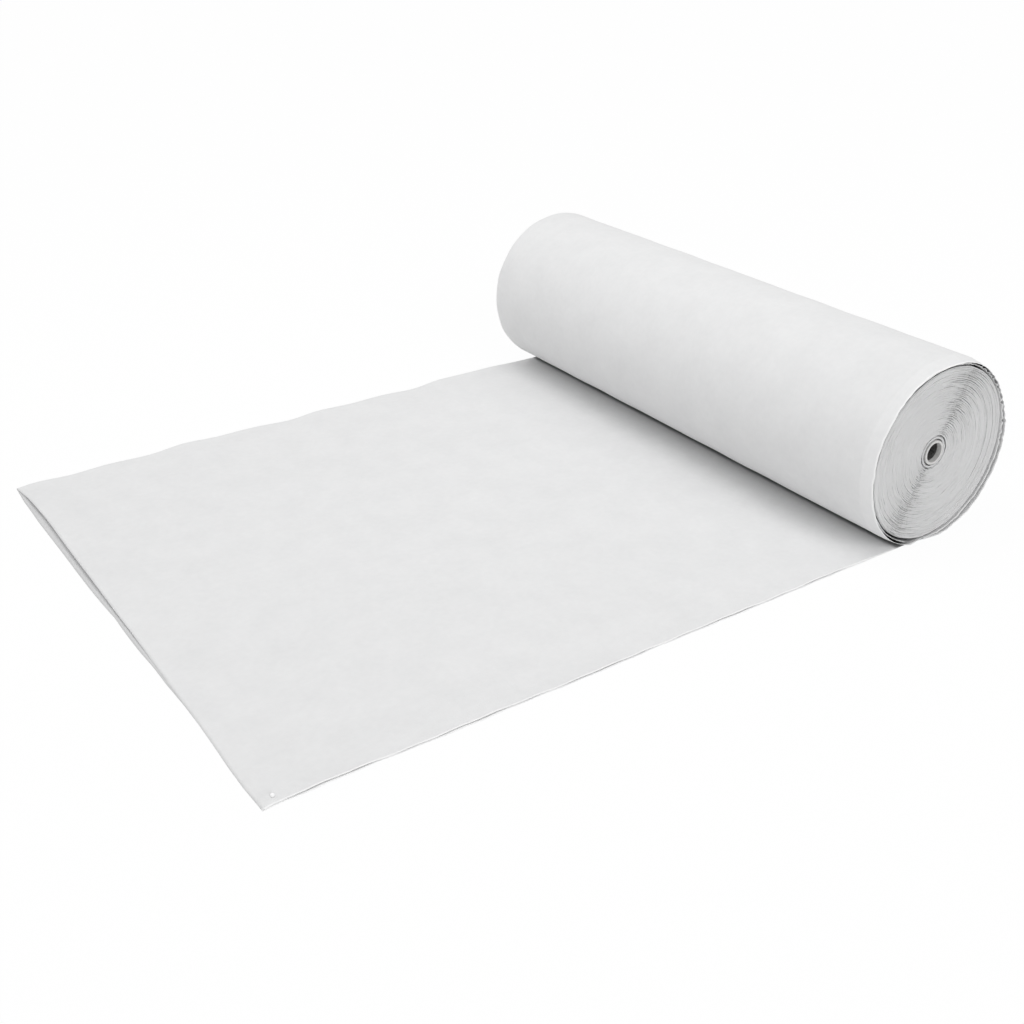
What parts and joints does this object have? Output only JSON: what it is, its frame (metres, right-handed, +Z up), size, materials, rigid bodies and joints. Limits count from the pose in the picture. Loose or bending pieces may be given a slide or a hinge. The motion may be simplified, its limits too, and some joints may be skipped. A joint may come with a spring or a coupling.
{
  "type": "roll of frost protection fleece",
  "caption": "Roll of white garden fleece, folded double and wound on a core tube, with its first stretch laid out flat, ready to unroll further or wind back.",
  "frame": {"origin": "on the floor under the roll's axle, midway along the roll", "axes": "+Z up; the axle runs along Y, with the fold at the +Y end and the two selvedges at the -Y end; the laid stretch runs towards -X"},
  "size_m": [1.0407, 0.8065, 0.2425],
  "materials": {
    "fleece": "matte white spunbonded fleece with a fine point-bond grain",
    "core": "pale matt tube",
    "tape": "crepe paper tape, hidden under the first turn",
    "pin": "small moulded white pin"
  },
  "bodies": {
    "laid_sheet": {"laid_fleece": "fleece", "corner_pin": "pin"},
    "loose_turn": {"outer_turn": "fleece"},
    "roll": {"core_tube": "core", "core_tape": "tape", "wound_fleece": "fleece"}
  },
  "joints": [
    {"name": "roll_along", "type": "slide", "parent": "laid_sheet", "child": "loose_turn", "axis": [1, 0, 0], "range_m": [-0.5, 0.72], "deforming": ["laid_fleece"]},
    {"name": "roll_turn", "type": "hinge", "parent": "loose_turn", "child": "roll", "pos_m": [0, 0, 0.119], "axis": [0, 1, 0], "range_deg": [-241, 347]}
  ],
  "couplings": [
    {"joint": "roll_turn", "follows": "roll_along", "rad_per_m": 8.4034}
  ]
}
